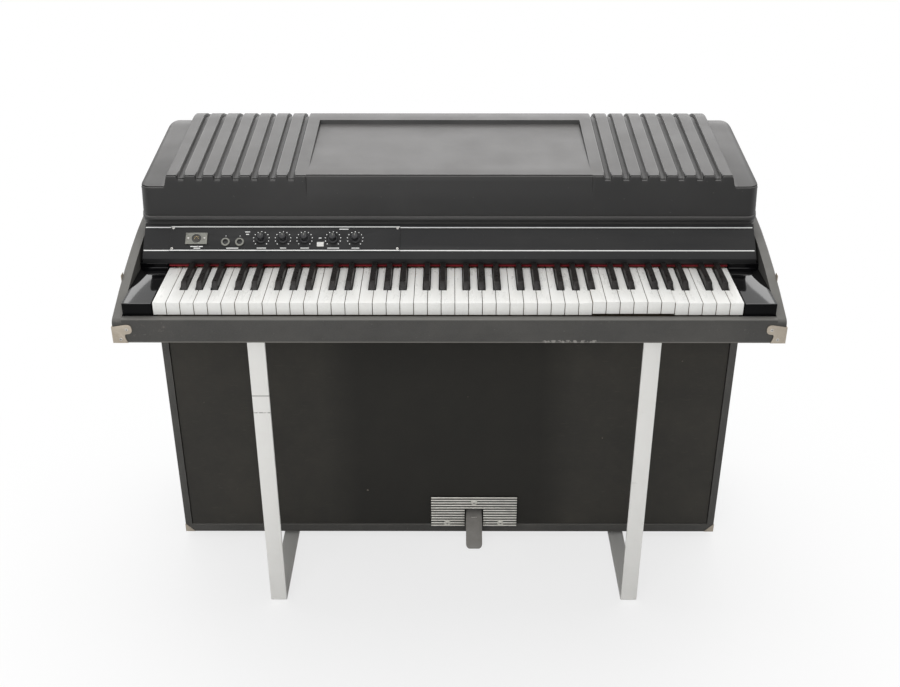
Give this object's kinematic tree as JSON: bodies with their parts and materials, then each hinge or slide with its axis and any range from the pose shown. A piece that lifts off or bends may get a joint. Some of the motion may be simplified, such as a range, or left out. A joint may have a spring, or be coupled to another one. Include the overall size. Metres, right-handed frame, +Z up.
{
  "type": "electric piano",
  "caption": "Stage electric piano with a ribbed moulded lid, slanted control rail and long keyboard on a cloth-fronted speaker cabinet with front legs and a sustain pedal.",
  "frame": {"origin": "on the floor, below the centre of the whole piano's bounding box", "axes": "+Z up, +X to the player's right, +Y from the player towards the back"},
  "size_m": [1.1594, 0.5796, 0.8898],
  "materials": {
    "case_vinyl": "plywood covered in pebbled black vinyl, worn along the edges",
    "lid_plastic": "moulded black plastic with a fine grain and a satin sheen",
    "cheek_gloss": "polished black",
    "rail_black": "satin black paint with fine silver stripes",
    "key_white": "off-white moulded key tops, slightly worn",
    "key_black": "black-brown moulded keys, rubbed shiny on top",
    "felt_red": "red felt",
    "corner_nickel": "dull nickel plate",
    "bare_aluminium": "brushed, slightly dull",
    "leg_metal": "satin metal, lightly scratched",
    "frame_wood": "bare spruce",
    "hammer_wood": "bare maple",
    "plain_steel": "zinc-plated steel",
    "grille_cloth": "board covered in black woven cloth",
    "switch_white": "white plastic",
    "black_plastic": "black",
    "speaker_black": "black paper cone on a stamped basket",
    "pedal_metal": "worn grey-brown paint over steel"
  },
  "bodies": {
    "piano": {"cabinet_shell": "case_vinyl", "front_grille": "grille_cloth", "rear_grille": "grille_cloth", "woofer_left": "speaker_black", "woofer_right": "speaker_black", "amplifier": "bare_aluminium", "kick_plate": "bare_aluminium", "leg_left": "leg_metal", "leg_right": "leg_metal", "lower_case": "case_vinyl", "case_corner_left": "corner_nickel", "case_corner_right": "corner_nickel", "cheek_block_left": "cheek_gloss", "cheek_block_right": "cheek_gloss", "key_frame": "frame_wood", "balance_rail": "key_white", "back_rail": "key_black", "name_rail": "rail_black", "rail_felt": "felt_red", "control_plate": "rail_black", "preamp_socket": "bare_aluminium", "harp_frame": "bare_aluminium", "tone_bars": "plain_steel", "pickup_rail": "black_plastic", "hammer_rail": "hammer_wood", "damper_rail": "bare_aluminium"},
    "lid_body": {"lid": "lid_plastic"},
    "sustain_pedal_body": {"sustain_pedal": "pedal_metal"},
    "pedal_rod_body": {"pedal_rod": "plain_steel"},
    "release_bar_body": {"release_bar": "plain_steel"},
    "vibrato_switch_body": {"vibrato_switch": "switch_white"},
    "knob_volume_body": {"knob_volume": "black_plastic"},
    "knob_bass_body": {"knob_bass": "black_plastic"},
    "knob_treble_body": {"knob_treble": "black_plastic"},
    "knob_vibrato_depth_body": {"knob_vibrato_depth": "black_plastic"},
    "knob_vibrato_rate_body": {"knob_vibrato_rate": "black_plastic"},
    "key_E3_body": {"key_E3": "key_white"},
    "key_F3_body": {"key_F3": "key_white"},
    "key_Fsharp3_body": {"key_Fsharp3": "key_black"},
    "key_G3_body": {"key_G3": "key_white"},
    "key_Gsharp3_body": {"key_Gsharp3": "key_black"},
    "key_A3_body": {"key_A3": "key_white"},
    "key_Asharp3_body": {"key_Asharp3": "key_black"},
    "key_B3_body": {"key_B3": "key_white"},
    "key_C4_body": {"key_C4": "key_white"},
    "key_Csharp4_body": {"key_Csharp4": "key_black"},
    "key_D4_body": {"key_D4": "key_white"},
    "key_Dsharp4_body": {"key_Dsharp4": "key_black"},
    "key_E4_body": {"key_E4": "key_white"},
    "key_F4_body": {"key_F4": "key_white"},
    "key_Fsharp4_body": {"key_Fsharp4": "key_black"},
    "key_G4_body": {"key_G4": "key_white"},
    "key_Gsharp4_body": {"key_Gsharp4": "key_black"},
    "key_A4_body": {"key_A4": "key_white"},
    "key_Asharp4_body": {"key_Asharp4": "key_black"},
    "key_B4_body": {"key_B4": "key_white"},
    "key_C5_body": {"key_C5": "key_white"},
    "key_Csharp5_body": {"key_Csharp5": "key_black"},
    "key_D5_body": {"key_D5": "key_white"},
    "key_Dsharp5_body": {"key_Dsharp5": "key_black"}
  },
  "joints": [
    {"name": "lid_lift", "type": "slide", "parent": "piano", "child": "lid_body", "axis": [0, 0, 1], "range_m": [0, 0.2]},
    {"name": "pedal_press", "type": "hinge", "parent": "piano", "child": "sustain_pedal_body", "pos_m": [0.053, 0.14185, 0.0655], "axis": [1, 0, 0], "range_deg": [0, 3.9], "stiffness_Nm_per_rad": 3, "springref_deg": -20.05},
    {"name": "rod_rise", "type": "slide", "parent": "piano", "child": "pedal_rod_body", "axis": [0, 0, 1], "range_m": [0, 0.0053]},
    {"name": "release_turn", "type": "hinge", "parent": "piano", "child": "release_bar_body", "pos_m": [0, 0.17385, 0.744], "axis": [1, 0, 0], "range_deg": [0, 9.2]},
    {"name": "vibrato_rock", "type": "hinge", "parent": "piano", "child": "vibrato_switch_body", "pos_m": [-0.2343, -0.11165, 0.7475], "axis": [1, 0, 0], "range_deg": [-8, 8]},
    {"name": "knob_volume_turn", "type": "hinge", "parent": "piano", "child": "knob_volume_body", "pos_m": [-0.3422, -0.10364, 0.75504], "axis": [0, -0.6656, 0.7463], "range_deg": [-150, 150]},
    {"name": "knob_bass_turn", "type": "hinge", "parent": "piano", "child": "knob_bass_body", "pos_m": [-0.3027, -0.10364, 0.75504], "axis": [0, -0.6656, 0.7463], "range_deg": [-150, 150]},
    {"name": "knob_treble_turn", "type": "hinge", "parent": "piano", "child": "knob_treble_body", "pos_m": [-0.2635, -0.10364, 0.75504], "axis": [0, -0.6656, 0.7463], "range_deg": [-150, 150]},
    {"name": "knob_vibrato_depth_turn", "type": "hinge", "parent": "piano", "child": "knob_vibrato_depth_body", "pos_m": [-0.2118, -0.10364, 0.75504], "axis": [0, -0.6656, 0.7463], "range_deg": [-150, 150]},
    {"name": "knob_vibrato_rate_turn", "type": "hinge", "parent": "piano", "child": "knob_vibrato_rate_body", "pos_m": [-0.1715, -0.10364, 0.75504], "axis": [0, -0.6656, 0.7463], "range_deg": [-150, 150]},
    {"name": "key_E3_press", "type": "hinge", "parent": "piano", "child": "key_E3_body", "pos_m": [0, -0.05815, 0.686], "axis": [1, 0, 0], "range_deg": [0, 2.5], "stiffness_Nm_per_rad": 0.5, "springref_deg": -22.92},
    {"name": "key_F3_press", "type": "hinge", "parent": "piano", "child": "key_F3_body", "pos_m": [0, -0.05815, 0.686], "axis": [1, 0, 0], "range_deg": [0, 2.5], "stiffness_Nm_per_rad": 0.5, "springref_deg": -22.92},
    {"name": "key_Fsharp3_press", "type": "hinge", "parent": "piano", "child": "key_Fsharp3_body", "pos_m": [0, -0.05815, 0.686], "axis": [1, 0, 0], "range_deg": [0, 2.5], "stiffness_Nm_per_rad": 0.5, "springref_deg": -22.92},
    {"name": "key_G3_press", "type": "hinge", "parent": "piano", "child": "key_G3_body", "pos_m": [0, -0.05815, 0.686], "axis": [1, 0, 0], "range_deg": [0, 2.5], "stiffness_Nm_per_rad": 0.5, "springref_deg": -22.92},
    {"name": "key_Gsharp3_press", "type": "hinge", "parent": "piano", "child": "key_Gsharp3_body", "pos_m": [0, -0.05815, 0.686], "axis": [1, 0, 0], "range_deg": [0, 2.5], "stiffness_Nm_per_rad": 0.5, "springref_deg": -22.92},
    {"name": "key_A3_press", "type": "hinge", "parent": "piano", "child": "key_A3_body", "pos_m": [0, -0.05815, 0.686], "axis": [1, 0, 0], "range_deg": [0, 2.5], "stiffness_Nm_per_rad": 0.5, "springref_deg": -22.92},
    {"name": "key_Asharp3_press", "type": "hinge", "parent": "piano", "child": "key_Asharp3_body", "pos_m": [0, -0.05815, 0.686], "axis": [1, 0, 0], "range_deg": [0, 2.5], "stiffness_Nm_per_rad": 0.5, "springref_deg": -22.92},
    {"name": "key_B3_press", "type": "hinge", "parent": "piano", "child": "key_B3_body", "pos_m": [0, -0.05815, 0.686], "axis": [1, 0, 0], "range_deg": [0, 2.5], "stiffness_Nm_per_rad": 0.5, "springref_deg": -22.92},
    {"name": "key_C4_press", "type": "hinge", "parent": "piano", "child": "key_C4_body", "pos_m": [0, -0.05815, 0.686], "axis": [1, 0, 0], "range_deg": [0, 2.5], "stiffness_Nm_per_rad": 0.5, "springref_deg": -22.92},
    {"name": "key_Csharp4_press", "type": "hinge", "parent": "piano", "child": "key_Csharp4_body", "pos_m": [0, -0.05815, 0.686], "axis": [1, 0, 0], "range_deg": [0, 2.5], "stiffness_Nm_per_rad": 0.5, "springref_deg": -22.92},
    {"name": "key_D4_press", "type": "hinge", "parent": "piano", "child": "key_D4_body", "pos_m": [0, -0.05815, 0.686], "axis": [1, 0, 0], "range_deg": [0, 2.5], "stiffness_Nm_per_rad": 0.5, "springref_deg": -22.92},
    {"name": "key_Dsharp4_press", "type": "hinge", "parent": "piano", "child": "key_Dsharp4_body", "pos_m": [0, -0.05815, 0.686], "axis": [1, 0, 0], "range_deg": [0, 2.5], "stiffness_Nm_per_rad": 0.5, "springref_deg": -22.92},
    {"name": "key_E4_press", "type": "hinge", "parent": "piano", "child": "key_E4_body", "pos_m": [0, -0.05815, 0.686], "axis": [1, 0, 0], "range_deg": [0, 2.5], "stiffness_Nm_per_rad": 0.5, "springref_deg": -22.92},
    {"name": "key_F4_press", "type": "hinge", "parent": "piano", "child": "key_F4_body", "pos_m": [0, -0.05815, 0.686], "axis": [1, 0, 0], "range_deg": [0, 2.5], "stiffness_Nm_per_rad": 0.5, "springref_deg": -22.92},
    {"name": "key_Fsharp4_press", "type": "hinge", "parent": "piano", "child": "key_Fsharp4_body", "pos_m": [0, -0.05815, 0.686], "axis": [1, 0, 0], "range_deg": [0, 2.5], "stiffness_Nm_per_rad": 0.5, "springref_deg": -22.92},
    {"name": "key_G4_press", "type": "hinge", "parent": "piano", "child": "key_G4_body", "pos_m": [0, -0.05815, 0.686], "axis": [1, 0, 0], "range_deg": [0, 2.5], "stiffness_Nm_per_rad": 0.5, "springref_deg": -22.92},
    {"name": "key_Gsharp4_press", "type": "hinge", "parent": "piano", "child": "key_Gsharp4_body", "pos_m": [0, -0.05815, 0.686], "axis": [1, 0, 0], "range_deg": [0, 2.5], "stiffness_Nm_per_rad": 0.5, "springref_deg": -22.92},
    {"name": "key_A4_press", "type": "hinge", "parent": "piano", "child": "key_A4_body", "pos_m": [0, -0.05815, 0.686], "axis": [1, 0, 0], "range_deg": [0, 2.5], "stiffness_Nm_per_rad": 0.5, "springref_deg": -22.92},
    {"name": "key_Asharp4_press", "type": "hinge", "parent": "piano", "child": "key_Asharp4_body", "pos_m": [0, -0.05815, 0.686], "axis": [1, 0, 0], "range_deg": [0, 2.5], "stiffness_Nm_per_rad": 0.5, "springref_deg": -22.92},
    {"name": "key_B4_press", "type": "hinge", "parent": "piano", "child": "key_B4_body", "pos_m": [0, -0.05815, 0.686], "axis": [1, 0, 0], "range_deg": [0, 2.5], "stiffness_Nm_per_rad": 0.5, "springref_deg": -22.92},
    {"name": "key_C5_press", "type": "hinge", "parent": "piano", "child": "key_C5_body", "pos_m": [0, -0.05815, 0.686], "axis": [1, 0, 0], "range_deg": [0, 2.5], "stiffness_Nm_per_rad": 0.5, "springref_deg": -22.92},
    {"name": "key_Csharp5_press", "type": "hinge", "parent": "piano", "child": "key_Csharp5_body", "pos_m": [0, -0.05815, 0.686], "axis": [1, 0, 0], "range_deg": [0, 2.5], "stiffness_Nm_per_rad": 0.5, "springref_deg": -22.92},
    {"name": "key_D5_press", "type": "hinge", "parent": "piano", "child": "key_D5_body", "pos_m": [0, -0.05815, 0.686], "axis": [1, 0, 0], "range_deg": [0, 2.5], "stiffness_Nm_per_rad": 0.5, "springref_deg": -22.92},
    {"name": "key_Dsharp5_press", "type": "hinge", "parent": "piano", "child": "key_Dsharp5_body", "pos_m": [0, -0.05815, 0.686], "axis": [1, 0, 0], "range_deg": [0, 2.5], "stiffness_Nm_per_rad": 0.5, "springref_deg": -22.92}
  ],
  "couplings": [
    {"joint": "rod_rise", "follows": "pedal_press", "m_per_rad": 0.075},
    {"joint": "release_turn", "follows": "pedal_press", "ratio": 2.2727}
  ]
}
